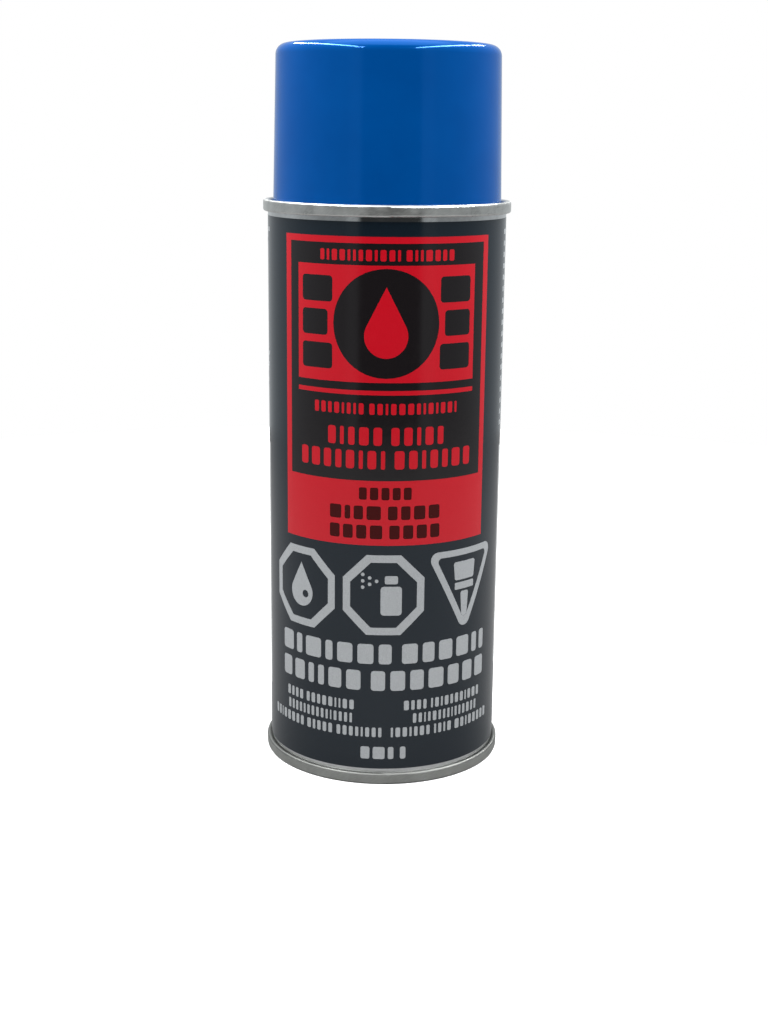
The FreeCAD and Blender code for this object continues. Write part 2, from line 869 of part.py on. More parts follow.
os.makedirs("parts", exist_ok=True)
for piece in pieces:
    piece.Shape.exportStep(f"parts/{piece.Label}.step")
    box = piece.Shape.BoundBox
    print(
        f"{piece.Label:22s} solids {len(piece.Shape.Solids)}  volume {piece.Shape.Volume:9.2f}"
        f"  x {box.XMin:.2f} {box.XMax:.2f}  y {box.YMin:.2f} {box.YMax:.2f}"
        f"  z {box.ZMin:.2f} {box.ZMax:.2f}"
    )
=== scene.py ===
import math
import random

import bpy
from mathutils import Matrix, Vector
from mathutils.geometry import delaunay_2d_cdt


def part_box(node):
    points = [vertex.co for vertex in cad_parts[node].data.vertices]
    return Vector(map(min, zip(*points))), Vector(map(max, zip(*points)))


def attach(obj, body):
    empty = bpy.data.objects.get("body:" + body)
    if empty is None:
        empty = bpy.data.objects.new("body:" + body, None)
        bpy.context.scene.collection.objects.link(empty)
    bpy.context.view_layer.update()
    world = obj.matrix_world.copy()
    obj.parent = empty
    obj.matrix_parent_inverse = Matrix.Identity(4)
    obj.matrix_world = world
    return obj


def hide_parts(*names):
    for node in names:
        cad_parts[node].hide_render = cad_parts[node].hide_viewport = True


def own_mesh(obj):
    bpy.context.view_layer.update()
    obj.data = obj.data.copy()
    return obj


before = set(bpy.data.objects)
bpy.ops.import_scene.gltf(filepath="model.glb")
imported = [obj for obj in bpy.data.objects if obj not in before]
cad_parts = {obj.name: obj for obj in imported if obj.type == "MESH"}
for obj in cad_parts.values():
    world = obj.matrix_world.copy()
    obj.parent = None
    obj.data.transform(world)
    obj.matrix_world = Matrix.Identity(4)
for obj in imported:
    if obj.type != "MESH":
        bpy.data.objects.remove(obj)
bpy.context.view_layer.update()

# The looks of an aerosol spray can: printed inks on the tinplate wall, satin seams, a glossy overcap,
# the valve and button under it, a pale floor and a soft studio.

MM = 0.001

# The wall's radius in millimetres, from the seam that stands out past it, and the printed zone:
# its heights, and half the bare strip at the back.
SEAM_STEP = 1.28
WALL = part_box("bottom_end")[1].x / MM - SEAM_STEP
HALF_TURN = math.pi * WALL
TINPLATE_GAP = 4.0
PRINT_LOW = 4.2
PRINT_HIGH = 154.5

# Each film's inner and outer radius, and how finely it bends round the wall.
COAT_LAYER = (WALL - 0.05, WALL + 0.04)
BLACK_LAYER = (WALL + 0.02, WALL + 0.052)
INK_LAYER = (WALL + 0.02, WALL + 0.067)
COAT_GRID = math.radians(1.25)
INK_GRID = math.radians(2.5)

# Label art is drawn flat, in millimetres: arc along the wall from the front, and height.
# A panel is left, low, right, high.
RED_PANELS = (
    (-30.9, 68.7, 31.45, 150.7),
    (-28.75, 86.5, 29.4, 149.0),
    (-25.7, 112.9, 25.9, 143.4),
    (-25.7, 109.6, 25.9, 110.8),
)
BLACK_PANEL = (-28.9, 86.4, 29.5, 149.1)
MAROON_PANEL = (-16.5, 69.6, 17.0, 85.6)
WHITE_PANELS = ((44.4, 27.0, 72.0, 91.5), (-72.0, 20.0, -44.4, 91.5))

# A line of type is left, right, low, high, and the number of characters in each word.
RED_LINES = (
    (-18.1, 18.6, 144.5, 147.4, (12, 7)),
    (-19.9, 20.3, 104.4, 107.4, (8, 13)),
    (-15.7, 16.3, 96.1, 101.0, (5, 5)),
    (-24.5, 25.3, 89.7, 94.7, (8, 7)),
    (-6.8, 7.4, 81.3, 84.7, (5,)),
    (-15.1, 15.5, 75.8, 79.6, (4, 4)),
    (-15.1, 15.6, 70.5, 74.3, (4, 4)),
)
SILVER_LINES = (
    (-33.0, 34.1, 35.0, 40.7, (7, 6)),
    (-33.0, 34.1, 27.25, 33.0, (6, 7)),
    (-31.1, -7.9, 21.4, 24.2, (4, 9)),
    (6.1, 32.2, 21.4, 24.2, (4, 11)),
    (-30.7, -8.4, 17.5, 20.3, (15,)),
    (8.7, 31.0, 17.5, 20.3, (15,)),
    (-38.4, -0.1, 13.6, 16.4, (8, 5, 8)),
    (2.5, 36.7, 13.6, 16.4, (7, 4, 8)),
    (-5.9, 6.7, 7.1, 10.7, (3, 1)),
)
# Letter widths are relative to each other. The gaps and the rounding are shares of a line's height.
LETTER_WIDTHS = (0.5, 0.8, 1.0, 1.0, 1.05, 1.2)
LETTER_GAP = 0.25
LETTER_ROUNDING = 0.13
WORD_GAP = 0.5

# A column of fine print is left, right, low, high, the pitch of its lines and their height.
SILVER_COLUMNS = (
    (43.4, 96.0, 96.0, 151.5, 3.1, 1.35),
    (-96.0, -43.6, 96.0, 151.5, 3.1, 1.2),
    (76.0, 96.0, 10.0, 91.0, 3.1, 1.2),
    (-96.0, -76.0, 10.0, 91.0, 3.1, 1.2),
)
WHITE_COLUMNS = ((48.5, 69.0, 30.0, 88.5, 3.6, 1.3), (-68.5, -48.5, 23.0, 88.5, 3.6, 1.3))
# Its ragged ends are in millimetres, its word widths and gaps in line heights.
RAGGED_ENDS = (0.0, 2.0, 5.0, 11.0)
SHORT_LINE_CHANCE = 0.12
SHORT_LINE = 0.35
WORD_WIDTHS = (1.2, 4.6)
LEAST_WORD = 1.5
FINE_GAP = 0.55

# The emblem: a disc with a drop, and three bars on each side, each with its rise and inner reach.
EMBLEM_ACROSS, EMBLEM_UP = 0.1, 128.3
EMBLEM_RADIUS = 14.3
EMBLEM_DROP = (EMBLEM_ACROSS, 119.3, 11.6, 18.6)
BARS = ((8.8, 14.6), (0.0, 16.0), (-8.8, 14.6))
BAR_END = 24.2
BAR_HALF = 3.4
BAR_ROUNDING = 0.9

# The three framed icons.
ICON_LOW, ICON_HIGH = 43.4, 66.0
ICON_BORDER = 2.1
OCTAGONS = ((-36.2, -13.6), (-11.2, 11.4))
OCTAGON_CUT = 6.6
OCTAGON_INNER_CUT = 5.7
TRIANGLE = ((24.7, 41.2), (37.6, ICON_HIGH), (11.8, ICON_HIGH))
TRIANGLE_INNER = ((24.7, 45.2), (34.6, 64.2), (14.8, 64.2))
ICON_DROP = (-24.9, 48.9, 8.2, 12.6)
ICON_GLINT = (-23.4, 52.6, 1.1)
ICON_CAN = (0.5, 54.6)
ICON_BRUSH = (24.7, 57.2)
# What the can and the brush are made of, each shape placed from the middle of its icon.
# A box ends with its rounding.
CAN_BOXES = ((-1.2, -5.6, 4.6, 2.6, 0.9), (-0.1, 3.3, 3.5, 5.6, 0.5))
BRISTLES = ((-3.6, 0.0), (3.6, 0.0), (4.1, 5.2), (-4.1, 5.2))
FERRULE = (-3.6, -2.7, 3.6, -0.7, 0.3)
HANDLE = ((-1.0, -10.6), (1.0, -10.6), (1.5, -3.4), (-1.5, -3.4))
SPRAY_DOTS = ((-2.3, 4.1), (-4.2, 5.0), (-4.2, 3.2), (-6.1, 5.9), (-6.1, 4.1), (-6.1, 2.3))
SPRAY_DOT_RADIUS = 0.5

# Surface patterns, in waves to the metre, and the slant of the rub marks in radians.
SCREEN_WAVES = 5200.0
VARNISH_WAVES = 700.0
RIPPLE_WAVES = 330.0
STAIN_WAVES = 190.0
FLOW_WAVES = 85.0
SHEEN_WAVES = 900.0
ROLLED_ALONG, ROLLED_UP = 260.0, 9000.0
RUB_SLANT = math.radians(-35)
RUB_STRETCH = (420.0, 3400.0, 1.0)

# The share of the colour left in the darkest stains, rub marks and painted shade, and how steeply up a
# ledge faces where its painted shade starts and where it is full.
STAIN_AND_SHADE_SHARE = 0.35
LEDGE_START, LEDGE_FULL = 0.1, 0.55

# The valve's spring.
SPRING_WIRE = 0.25 * MM
SPRING_TURNS = 7.5

# The studio: brightness of the tent by degrees round from the front, its ceiling, strips and floor.
TENT_LEVELS = (
    (-180, 0.6), (-160, 0.58), (-135, 0.5), (-105, 0.46), (-80, 0.36), (-60, 0.27), (-40, 0.23),
    (-37, 0.32), (-28, 0.32), (-24, 0.035), (32, 0.035), (35, 0.34), (46, 0.34), (49, 0.25),
    (70, 0.27), (85, 0.33), (108, 0.44), (138, 0.5), (160, 0.58), (180, 0.6),
)
TENT_TINT = (0.95, 1.0, 1.03)
CEILING_START = 0.74
CEILING_FULL = 0.9
CEILING_LIGHT = (2.3, 2.32, 2.35)
STRIP_LENGTH = 0.7
STRIP_WIDTH = 0.03
STRIP_HEIGHT = 0.42
STRIP_FORWARD = -0.05
STRIP_RADIANCE = 58.0

# Light and reflections meet a dim floor, the camera a white one.
FLOOR_RADIUS = 0.5
FLOOR_LIT = (0.2, 0.2, 0.2)
FLOOR_SEEN = (0.93, 0.93, 0.93)

# The camera, in metres, millimetres of film and degrees.
CAMERA_PLACE = (0.0, -0.43246, 0.17737)
CAMERA_LENS = 54.07
CAMERA_FILM = 36.0
CAMERA_DOWN = 13.954
CAMERA_ROLL = 0.593
CAMERA_NEAR = 0.01
CAMERA_FAR = 30.0

# The same draws every time, for the widths of the blocks that stand for type.
dice = random.Random(7)


# ---------------------------------------------------------------- flat shapes for the label

def box_shape(left, low, right, high, rounding=0.0, steps=3):
    """A rectangle, with rounded corners if a rounding is given."""
    if rounding == 0.0:
        return [(left, low), (right, low), (right, high), (left, high)]
    points = []
    corners = (
        (right - rounding, low + rounding, -90),
        (right - rounding, high - rounding, 0),
        (left + rounding, high - rounding, 90),
        (left + rounding, low + rounding, 180),
    )
    for across, up, start in corners:
        for step in range(steps + 1):
            angle = math.radians(start + 90 * step / steps)
            points.append((across + rounding * math.cos(angle), up + rounding * math.sin(angle)))
    return points


def disc_shape(across, up, radius, steps=48):
    """A circle."""
    turns = [2 * math.pi * step / steps for step in range(steps)]
    return [(across + radius * math.cos(t), up + radius * math.sin(t)) for t in turns]


def octagon_shape(left, low, right, high, cut):
    """A rectangle with its corners cut off."""
    return [
        (left + cut, low), (right - cut, low), (right, low + cut), (right, high - cut),
        (right - cut, high), (left + cut, high), (left, high - cut), (left, low + cut),
    ]


def drop_shape(across, low, width, height, steps=40):
    """A paint drop: round below, pointed above."""
    radius = width / 2
    centre = low + radius
    tip = low + height
    lean = math.asin(radius / (tip - centre))
    first = math.pi - lean
    points = [(across, tip)]
    for step in range(steps + 1):
        angle = first + (math.pi + 2 * lean) * step / steps
        points.append((across + radius * math.cos(angle), centre + radius * math.sin(angle)))
    return points


def rounded_shape(corners, rounding, steps=5):
    """A polygon, given anticlockwise, with each corner rounded."""
    points = []
    for index, corner in enumerate(corners):
        here = Vector(corner)
        before = (Vector(corners[index - 1]) - here).normalized()
        after = (Vector(corners[(index + 1) % len(corners)]) - here).normalized()
        half = before.angle(after) / 2
        centre = here + (before + after).normalized() * rounding / math.sin(half)
        start = here + before * rounding / math.tan(half) - centre
        turn = math.pi - 2 * half
        for step in range(steps + 1):
            spin = Matrix.Rotation(turn * step / steps, 2)
            points.append(tuple(centre + spin @ start))
    return points


def word_line(left, right, low, high, words):
    """One line of type as plain blocks, one block for each character and no lettering."""
    height = high - low
    gap = LETTER_GAP * height
    space = WORD_GAP * height
    count = sum(words)
    widths = [dice.choice(LETTER_WIDTHS) for _ in range(count)]
    room = right - left - gap * (count - len(words)) - space * (len(words) - 1)
    unit = room / sum(widths)
    shapes = []
    place = left
    for word in words:
        for letter in range(word):
            width = widths.pop() * unit
            rounding = min(LETTER_ROUNDING * height, 0.3 * width)
            shapes.append(box_shape(place, low, place + width, high, rounding, 2))
            place += width + (gap if letter < word - 1 else space)
    return shapes


def small_print(left, right, low, high, pitch, height):
    """A column of fine print as word-long bars with a ragged right edge."""
    shapes = []
    line = high
    while line - height > low:
        place = left
        end = right - dice.choice(RAGGED_ENDS)
        if dice.random() < SHORT_LINE_CHANCE:
            end = left + SHORT_LINE * (right - left)
        while place < end - LEAST_WORD * height:
            width = min(height * dice.uniform(*WORD_WIDTHS), end - place)
            shapes.append(box_shape(place, line - height, place + width, line))
            place += width + FINE_GAP * height
        line -= pitch
    return shapes


# ---------------------------------------------------------------- the label's inks

def emblem_cuts():
    """The dark shapes inside the red block: a disc and the bars beside it."""
    cuts = [disc_shape(EMBLEM_ACROSS, EMBLEM_UP, EMBLEM_RADIUS)]
    for side in (-1, 1):
        for rise, reach in BARS:
            left, right = sorted((EMBLEM_ACROSS + side * reach, EMBLEM_ACROSS + side * BAR_END))
            middle = EMBLEM_UP + rise
            cuts.append(box_shape(left, middle - BAR_HALF, right, middle + BAR_HALF, BAR_ROUNDING))
    return cuts


def red_art():
    """Frame, emblem, lines of type and the solid band."""
    shapes = [box_shape(*panel) for panel in RED_PANELS]
    shapes.append(drop_shape(*EMBLEM_DROP))
    shapes += emblem_cuts()
    for line in RED_LINES:
        shapes += word_line(*line)
    return shapes


def placed_box(across, up, box):
    """A rounded box, moved to the place of its icon."""
    left, low, right, high, rounding = box
    return box_shape(across + left, up + low, across + right, up + high, rounding)


def placed_corners(across, up, corners):
    """Corners, moved to the place of their icon."""
    return [(across + out, up + rise) for out, rise in corners]


def can_icon(across, up):
    """A small spray can with a fan of dots."""
    shapes = [placed_box(across, up, box) for box in CAN_BOXES]
    for out, rise in placed_corners(across, up, SPRAY_DOTS):
        shapes.append(disc_shape(out, rise, SPRAY_DOT_RADIUS, steps=16))
    return shapes


def brush_icon(across, up):
    """A small upright paint brush: bristles, ferrule and handle."""
    return [
        rounded_shape(placed_corners(across, up, BRISTLES), 0.7),
        placed_box(across, up, FERRULE),
        rounded_shape(placed_corners(across, up, HANDLE), 0.6),
    ]


def silver_art():
    """Three framed icons and the lines of type below them."""
    shapes = []
    inner_low, inner_high = ICON_LOW + ICON_BORDER, ICON_HIGH - ICON_BORDER
    for left, right in OCTAGONS:
        inner_left, inner_right = left + ICON_BORDER, right - ICON_BORDER
        shapes.append(octagon_shape(left, ICON_LOW, right, ICON_HIGH, OCTAGON_CUT))
        shapes.append(octagon_shape(inner_left, inner_low, inner_right, inner_high, OCTAGON_INNER_CUT))
    shapes.append(rounded_shape(TRIANGLE, 2.2))
    shapes.append(rounded_shape(TRIANGLE_INNER, 1.1))
    shapes.append(drop_shape(*ICON_DROP))
    shapes.append(disc_shape(*ICON_GLINT, steps=20))
    shapes += can_icon(*ICON_CAN)
    shapes += brush_icon(*ICON_BRUSH)
    for line in SILVER_LINES:
        shapes += word_line(*line)
    for column in SILVER_COLUMNS:
        shapes += small_print(*column)
    return shapes


def white_art():
    """The two plain panels at the sides, with fine print left dark."""
    shapes = [box_shape(*panel) for panel in WHITE_PANELS]
    for column in WHITE_COLUMNS:
        shapes += small_print(*column)
    return shapes


def anticlockwise(shape):
    """The shape's points in anticlockwise order."""
    area = sum(a[0] * b[1] - b[0] * a[1] for a, b in zip(shape, shape[1:] + shape[:1]))
    return shape if area > 0 else shape[::-1]


def ink_film(name, shapes, layer, grid):
    """A thin closed film wrapped round the wall. Overlapping shapes cut each other out."""
    points = []
    edges = []
    faces = []
    for shape in shapes:
        first = len(points)
        points += [Vector(point) for point in anticlockwise(shape)]
        faces.append(list(range(first, len(points))))
    arcs = [point.x for point in points]
    heights = [point.y for point in points]
    spacing = grid * WALL
    for line in range(math.ceil(min(arcs) / spacing), math.floor(max(arcs) / spacing) + 1):
        edges.append((len(points), len(points) + 1))
        points.append(Vector((line * spacing, min(heights) - 1)))
        points.append(Vector((line * spacing, max(heights) + 1)))
    flat, _, triangles, _, _, owners = delaunay_2d_cdt(points, edges, faces, 0, 1e-6)
    kept = [list(t) for t, owner in zip(triangles, owners) if len(owner) % 2]
    used = sorted({corner for triangle in kept for corner in triangle})
    order = {corner: index for index, corner in enumerate(used)}
    count = len(used)
    outward = []
    places = []
    for radius in layer:
        for corner in used:
            angle = flat[corner].x / WALL
            normal = Vector((math.sin(angle), -math.cos(angle), 0.0))
            outward.append(normal)
            places.append(normal * radius * MM + Vector((0.0, 0.0, flat[corner].y * MM)))
    # The side faces stand on the sides that only one triangle has.
    sides = {}
    for triangle in kept:
        for a, b in zip(triangle, triangle[1:] + triangle[:1]):
            sides[(order[a], order[b])] = True
    polygons = []
    normals = []
    for triangle in kept:
        a, b, c = (order[corner] for corner in triangle)
        polygons.append((a + count, b + count, c + count))
        normals += [outward[a], outward[b], outward[c]]
        polygons.append((c, b, a))
        normals += [-outward[c], -outward[b], -outward[a]]
    for a, b in sides:
        if (b, a) not in sides:
            polygons.append((b + count, a + count, a, b))
            along = (places[b] - places[a]).normalized()
            normals += [along.cross(outward[a])] * 4
    mesh = bpy.data.meshes.new(name)
    mesh.from_pydata(places, [], polygons)
    mesh.polygons.foreach_set("use_smooth", [True] * len(polygons))
    mesh.normals_split_custom_set(normals)
    piece = bpy.data.objects.new(name, mesh)
    bpy.context.scene.collection.objects.link(piece)
    return piece


# ---------------------------------------------------------------- the valve's spring

def coil_spring(name, node, sides=12, steps=36):
    """Round wire wound between the ends of the CAD spring's box."""
    low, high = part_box(node)
    centre = (low + high) / 2
    radius = (high.x - low.x) / 2 - SPRING_WIRE
    climb = high.z - low.z - 2 * SPRING_WIRE
    lean = math.atan2(climb, 2 * math.pi * radius * SPRING_TURNS)
    rings = round(steps * SPRING_TURNS)
    places = []
    for ring in range(rings + 1):
        angle = 2 * math.pi * SPRING_TURNS * ring / rings
        outward = Vector((math.cos(angle), math.sin(angle), 0.0))
        onward = Vector((-math.sin(angle), math.cos(angle), 0.0))
        upward = Vector((0.0, 0.0, math.cos(lean))) - onward * math.sin(lean)
        height = low.z + SPRING_WIRE + climb * ring / rings
        middle = Vector((centre.x, centre.y, height)) + outward * radius
        for side in range(sides):
            turn = 2 * math.pi * side / sides
            places.append(middle + SPRING_WIRE * (outward * math.cos(turn) + upward * math.sin(turn)))
    polygons = [tuple(range(sides)), tuple(range(rings * sides + sides - 1, rings * sides - 1, -1))]
    for ring in range(rings):
        for side in range(sides):
            here, beside = ring * sides + side, ring * sides + (side + 1) % sides
            polygons.append((here, here + sides, beside + sides, beside))
    mesh = bpy.data.meshes.new(name)
    mesh.from_pydata(places, [], polygons)
    mesh.polygons.foreach_set("use_smooth", [len(polygon) == 4 for polygon in polygons])
    piece = bpy.data.objects.new(name, mesh)
    bpy.context.scene.collection.objects.link(piece)
    return piece


# ---------------------------------------------------------------- materials

class Tree:
    """A node tree with short ways to add to it."""

    def __init__(self, tree):
        self.tree = tree

    def node(self, kind, inputs=None, **settings):
        """A new node. Each input is a value to set or a socket to link."""
        made = self.tree.nodes.new(kind)
        for setting, value in settings.items():
            setattr(made, setting, value)
        for socket, value in (inputs or {}).items():
            if isinstance(value, bpy.types.NodeSocket):
                self.tree.links.new(value, made.inputs[socket])
            else:
                made.inputs[socket].default_value = value
        return made

    def sum(self, kind, *values):
        """The result of a Math node."""
        made = self.node("ShaderNodeMath", dict(enumerate(values)), operation=kind)
        return made.outputs[0]


class Finish(Tree):
    """A material built round one Principled shader, in the object's own metres."""

    def __init__(self, name, **sockets):
        self.material = bpy.data.materials.new(name)
        self.material.use_nodes = True
        super().__init__(self.material.node_tree)
        self.shader = self.tree.nodes["Principled BSDF"]
        for socket, value in sockets.items():
            self.shader.inputs[socket.replace("_", " ")].default_value = value
        self.place = self.node("ShaderNodeTexCoord").outputs["Object"]

    def noise(self, scale, detail=2.0, roughness=0.5, where=None):
        """A noise pattern, in waves to the metre unless its coordinates are stretched."""
        inputs = {"Vector": where or self.place, "Scale": scale, "Detail": detail, "Roughness": roughness}
        return self.node("ShaderNodeTexNoise", inputs).outputs["Fac"]

    def unrolled(self, along, up):
        """Coordinates on the unrolled wall, stretched by a factor each way."""
        split = self.node("ShaderNodeSeparateXYZ", {"Vector": self.place}).outputs
        angle = self.sum("ARCTAN2", split[0], self.sum("MULTIPLY", split[1], -1.0))
        arc = self.sum("MULTIPLY", angle, WALL * MM * along)
        rise = self.sum("MULTIPLY", split[2], up)
        return self.node("ShaderNodeCombineXYZ", {"X": arc, "Y": rise, "Z": 0.0}).outputs[0]

    def spread(self, value, low, high, start=0.3, end=0.7):
        """Map a 0 to 1 pattern to a range of numbers."""
        inputs = {"Value": value, "From Min": start, "From Max": end, "To Min": low, "To Max": high}
        return self.node("ShaderNodeMapRange", inputs).outputs["Result"]

    def tint(self, value, dark, light):
        """Colour the base from one colour to another."""
        mix = self.node("ShaderNodeMix", {"Factor": value}, data_type="RGBA")
        mix.inputs["A"].default_value = (*dark, 1.0)
        mix.inputs["B"].default_value = (*light, 1.0)
        self.tree.links.new(mix.outputs["Result"], self.shader.inputs["Base Color"])

    def rough(self, value):
        """Drive the roughness with a pattern."""
        self.tree.links.new(value, self.shader.inputs["Roughness"])

    def relief(self, height, depth, strength=1.0):
        """Raise the surface by a pattern, to a depth in metres."""
        bump = self.node("ShaderNodeBump", {"Height": height, "Distance": depth, "Strength": strength})
        self.tree.links.new(bump.outputs["Normal"], self.shader.inputs["Normal"])


def printed(name, dark, light, roughness, metallic=0.0, grain=SCREEN_WAVES, index=1.48):
    """Litho ink under clear varnish: a fine screen grain and the tin's faint ripple."""
    finish = Finish(name, Metallic=metallic, IOR=index)
    screen = finish.noise(grain, 3.0, 0.6)
    varnish = finish.noise(VARNISH_WAVES, 2.0)
    ripple = finish.noise(RIPPLE_WAVES, 1.0)
    finish.tint(finish.spread(screen, 0.0, 1.0), dark, light)
    finish.rough(finish.spread(varnish, roughness - 0.025, roughness + 0.025))
    finish.relief(ripple, 0.012 * MM, 0.6)
    return finish.material


def tinplate(name, light, roughness, scratch, ledge_shade=0.0):
    """Bare tinplate: rolled grain round the can, faint stains, slanted rub marks, and painted shade
    darkening its upward ledges to dim their highlight.
    """
    finish = Finish(name, Metallic=1.0)
    grain = finish.noise(1.0, 4.0, 0.65, finish.unrolled(ROLLED_ALONG, ROLLED_UP))
    wall = finish.unrolled(1.0, 1.0)
    slanted = finish.node("ShaderNodeVectorRotate", {"Vector": wall, "Angle": RUB_SLANT}).outputs[0]
    streaks = finish.node("ShaderNodeVectorMath", {0: slanted, 1: RUB_STRETCH}, operation="MULTIPLY")
    marks = finish.noise(1.0, 3.0, 0.6, streaks.outputs[0])
    stain = finish.noise(STAIN_WAVES, 4.0, 0.62)
    stained = finish.spread(stain, 0.7, 1.0, 0.3, 0.62)
    worn = finish.sum("MULTIPLY", stained, finish.spread(marks, 0.74, 1.0))
    # Painted shade: ledges that face up are darkened towards the dark colour, which dims the highlight
    # they reflect.
    normal = finish.node("ShaderNodeNewGeometry").outputs["Normal"]
    facing = finish.node("ShaderNodeSeparateXYZ", {0: normal}).outputs[2]
    ledge = finish.spread(facing, 1.0, 1.0 - ledge_shade, LEDGE_START, LEDGE_FULL)
    dark = tuple(STAIN_AND_SHADE_SHARE * part for part in light)
    finish.tint(finish.sum("MULTIPLY", worn, ledge), dark, light)
    haze = finish.sum("ADD", grain, stain)
    finish.rough(finish.spread(haze, roughness - 0.07, roughness + 0.08, 0.8, 1.2))
    finish.relief(finish.sum("ADD", grain, finish.sum("MULTIPLY", marks, 0.6)), scratch)
    return finish.material


def moulded(name, dark, light, roughness, texture=2200.0, depth=0.006 * MM, **sockets):
    """Moulded plastic or rubber: soft colour flow and a fine surface texture."""
    finish = Finish(name, **sockets)
    finish.tint(finish.spread(finish.noise(FLOW_WAVES, 2.0), 0.0, 1.0), dark, light)
    sheen = finish.noise(SHEEN_WAVES, 3.0)
    finish.rough(finish.spread(sheen, roughness - 0.03, roughness + 0.04))
    finish.relief(finish.noise(texture, 2.0), depth)
    return finish.material


navy_ink = printed("navy_ink", (0.0050, 0.0102, 0.0160), (0.0066, 0.0124, 0.0192), 0.14)
black_ink = printed("black_ink", (0.0075, 0.0058, 0.0066), (0.0095, 0.0076, 0.0084), 0.14)
maroon_ink = printed("maroon_ink", (0.040, 0.001, 0.001), (0.054, 0.002, 0.002), 0.25, index=1.3)
red_ink = printed("red_ink", (0.475, 0.003, 0.011), (0.54, 0.006, 0.017), 0.2)
silver_ink = printed(
    "silver_ink", (0.42, 0.44, 0.455), (0.56, 0.58, 0.595), 0.36, metallic=0.45, grain=3600.0
)
white_ink = printed("white_ink", (0.42, 0.43, 0.43), (0.47, 0.48, 0.48), 0.22)
bare_tin = tinplate("bare_tin", (0.78, 0.79, 0.79), 0.07, 0.0015 * MM)
satin_tin = tinplate("satin_tin", (0.70, 0.71, 0.69), 0.34, 0.0022 * MM)
# The base's upward ledges carry painted shade.
base_tin = tinplate("base_tin", (0.47, 0.48, 0.46), 0.5, 0.009 * MM, ledge_shade=0.9)
cup_tin = tinplate("cup_tin", (0.62, 0.62, 0.60), 0.2, 0.005 * MM)
cap_plastic = moulded(
    "cap_plastic", (0.0, 0.066, 0.288), (0.0, 0.073, 0.312), 0.1, texture=420.0,
    Metallic=0.2, IOR=1.32, Specular_Tint=(0.55, 0.85, 1.0, 1.0)
)
button_plastic = moulded("button_plastic", (0.60, 0.60, 0.59), (0.65, 0.65, 0.64), 0.3)
insert_plastic = moulded("insert_plastic", (0.02, 0.02, 0.022), (0.03, 0.03, 0.032), 0.35)
valve_plastic = moulded("valve_plastic", (0.74, 0.74, 0.71), (0.82, 0.82, 0.80), 0.38)
tube_plastic = moulded(
    "tube_plastic", (0.70, 0.72, 0.72), (0.80, 0.82, 0.82), 0.25, texture=1500.0, depth=0.008 * MM,
    Transmission_Weight=0.45
)
gasket_rubber = moulded(
    "gasket_rubber", (0.018, 0.018, 0.018), (0.03, 0.03, 0.03), 0.62,
    texture=3800.0, depth=0.02 * MM
)
seam_compound = moulded(
    "seam_compound", (0.40, 0.27, 0.16), (0.50, 0.36, 0.24), 0.6,
    texture=3200.0, depth=0.02 * MM
)
spring_steel = moulded(
    "spring_steel", (0.46, 0.46, 0.46), (0.56, 0.56, 0.55), 0.24, texture=5200.0, Metallic=1.0
)
ball_steel = moulded(
    "ball_steel", (0.54, 0.54, 0.54), (0.62, 0.62, 0.62), 0.12, texture=2600.0, depth=0.002 * MM,
    Metallic=1.0
)

CAD_FINISHES = {
    "can_body": bare_tin,
    "top_dome": satin_tin,
    "bottom_end": base_tin,
    "top_seam_compound": seam_compound,
    "bottom_seam_compound": seam_compound,
    "mounting_cup": cup_tin,
    "cup_gasket": gasket_rubber,
    "stem_gasket": gasket_rubber,
    "valve_stem": valve_plastic,
    "valve_housing": valve_plastic,
    "valve_spring": spring_steel,
    "dip_tube": tube_plastic,
    "mixing_ball": ball_steel,
    "actuator_button": button_plastic,
    "nozzle_insert": insert_plastic,
    "overcap": cap_plastic,
}
for node, finish in CAD_FINISHES.items():
    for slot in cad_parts[node].material_slots:
        slot.material = finish

coat_edge = HALF_TURN - TINPLATE_GAP
coat_art = [box_shape(-coat_edge, PRINT_LOW, coat_edge, PRINT_HIGH)]
FILMS = (
    ("label_navy", coat_art, COAT_LAYER, COAT_GRID, navy_ink),
    ("label_black", [box_shape(*BLACK_PANEL)], BLACK_LAYER, COAT_GRID, black_ink),
    ("label_maroon", [box_shape(*MAROON_PANEL)], BLACK_LAYER, COAT_GRID, maroon_ink),
    ("label_red", red_art(), INK_LAYER, INK_GRID, red_ink),
    ("label_silver", silver_art(), INK_LAYER, INK_GRID, silver_ink),
    ("label_white", white_art(), INK_LAYER, INK_GRID, white_ink),
)
for name, shapes, layer, grid, ink in FILMS:
    film = ink_film(name, shapes, layer, grid)
    film.data.materials.append(ink)
    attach(film, "can")

# A spring of round wire stands in for the CAD spring, which is hidden, and rides with the can.
spring = coil_spring("spring_coil", "valve_spring")
spring.data.materials.append(spring_steel)
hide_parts("valve_spring")
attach(spring, "can")
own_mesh(spring)


# ---------------------------------------------------------------- floor, light and camera

def make_floor():
    """A round pale floor, white out to where the studio's backdrop takes over."""
    mesh = bpy.data.meshes.new("floor")
    rim = [(across, up, 0.0) for across, up in disc_shape(0.0, 0.0, FLOOR_RADIUS, steps=96)]
    mesh.from_pydata(rim, [], [tuple(range(len(rim)))])
    floor = bpy.data.objects.new("floor", mesh)
    bpy.context.scene.collection.objects.link(floor)
    finish = Finish("floor_paint", Roughness=0.9, Specular_IOR_Level=0.0)
    seen = finish.node("ShaderNodeLightPath").outputs["Is Camera Ray"]
    finish.tint(seen, FLOOR_LIT, FLOOR_SEEN)
    mesh.materials.append(finish.material)


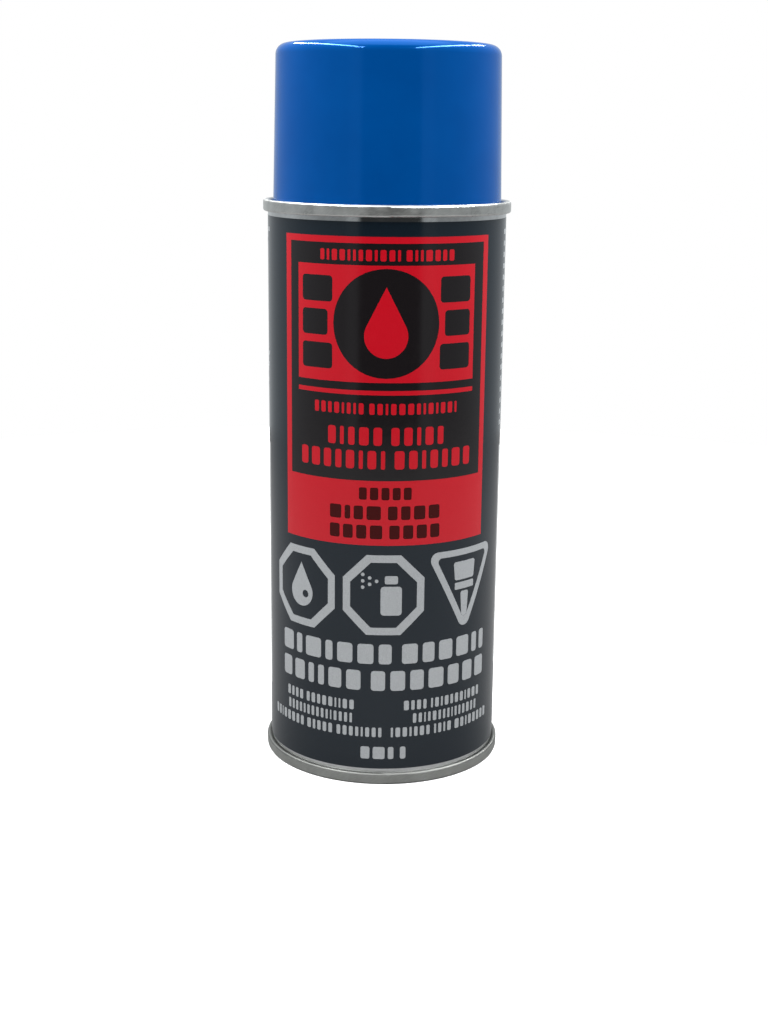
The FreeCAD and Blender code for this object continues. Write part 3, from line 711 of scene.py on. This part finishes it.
def make_world():
    """A studio tent: dim opening at the front, brighter sides and back, pale ceiling."""
    world = bpy.data.worlds.new("studio")
    world.use_nodes = True
    world.node_tree.nodes.clear()
    studio = Tree(world.node_tree)
    towards = studio.node("ShaderNodeTexCoord").outputs["Generated"]
    split = studio.node("ShaderNodeSeparateXYZ", {0: towards}).outputs
    azimuth = studio.sum("ARCTAN2", split[0], studio.sum("MULTIPLY", split[1], -1.0))
    round_tent = studio.sum("ADD", studio.sum("DIVIDE", azimuth, 2 * math.pi), 0.5)
    ring = studio.node("ShaderNodeValToRGB", {0: round_tent})
    stops = ring.color_ramp.elements
    for index, (degrees, level) in enumerate(TENT_LEVELS):
        place = (degrees + 180) / 360
        stop = stops[index] if index < 2 else stops.new(place)
        stop.position = place
        stop.color = (*(part * level for part in TENT_TINT), 1.0)
    rise = studio.node(
        "ShaderNodeMapRange",
        {"Value": split[2], "From Min": CEILING_START, "From Max": CEILING_FULL},
        interpolation_type="SMOOTHSTEP",
    )
    ceiling = studio.node("ShaderNodeMix", {"Factor": rise.outputs[0]}, data_type="RGBA")
    studio.tree.links.new(ring.outputs[0], ceiling.inputs["A"])
    ceiling.inputs["B"].default_value = (*CEILING_LIGHT, 1.0)
    tent = studio.node("ShaderNodeBackground", {"Color": ceiling.outputs["Result"]})
    backdrop = studio.node("ShaderNodeBackground", {"Color": (1.0, 1.0, 1.0, 1.0)})
    seen = studio.node("ShaderNodeLightPath").outputs["Is Camera Ray"]
    either = studio.node("ShaderNodeMixShader", {0: seen, 1: tent.outputs[0], 2: backdrop.outputs[0]})
    studio.node("ShaderNodeOutputWorld", {"Surface": either.outputs[0]})
    bpy.context.scene.world = world


def make_strip(name, across):
    """A strip light over the can, running front to back and facing down."""
    light = bpy.data.lights.new(name, "AREA")
    light.shape = "RECTANGLE"
    light.size = STRIP_WIDTH
    light.size_y = STRIP_LENGTH
    light.energy = STRIP_RADIANCE * math.pi * STRIP_WIDTH * STRIP_LENGTH
    lamp = bpy.data.objects.new(name, light)
    bpy.context.scene.collection.objects.link(lamp)
    lamp.location = (across, STRIP_FORWARD, STRIP_HEIGHT)


def make_camera():
    """The camera: slightly above, level with the cap, looking down at the can."""
    view = bpy.data.cameras.new("camera")
    view.lens = CAMERA_LENS
    view.sensor_width = CAMERA_FILM
    view.clip_start = CAMERA_NEAR
    view.clip_end = CAMERA_FAR
    camera = bpy.data.objects.new("camera", view)
    bpy.context.scene.collection.objects.link(camera)
    tilt = math.radians(90 - CAMERA_DOWN)
    roll = math.radians(CAMERA_ROLL)
    turn = Matrix.Rotation(tilt, 4, "X") @ Matrix.Rotation(roll, 4, "Z")
    camera.matrix_world = Matrix.Translation(CAMERA_PLACE) @ turn
    bpy.context.scene.camera = camera


make_floor()
make_world()
make_strip("strip_left", -0.2)
make_strip("strip_right", 0.22)
make_camera()
bpy.context.scene.view_settings.view_transform = "Standard"
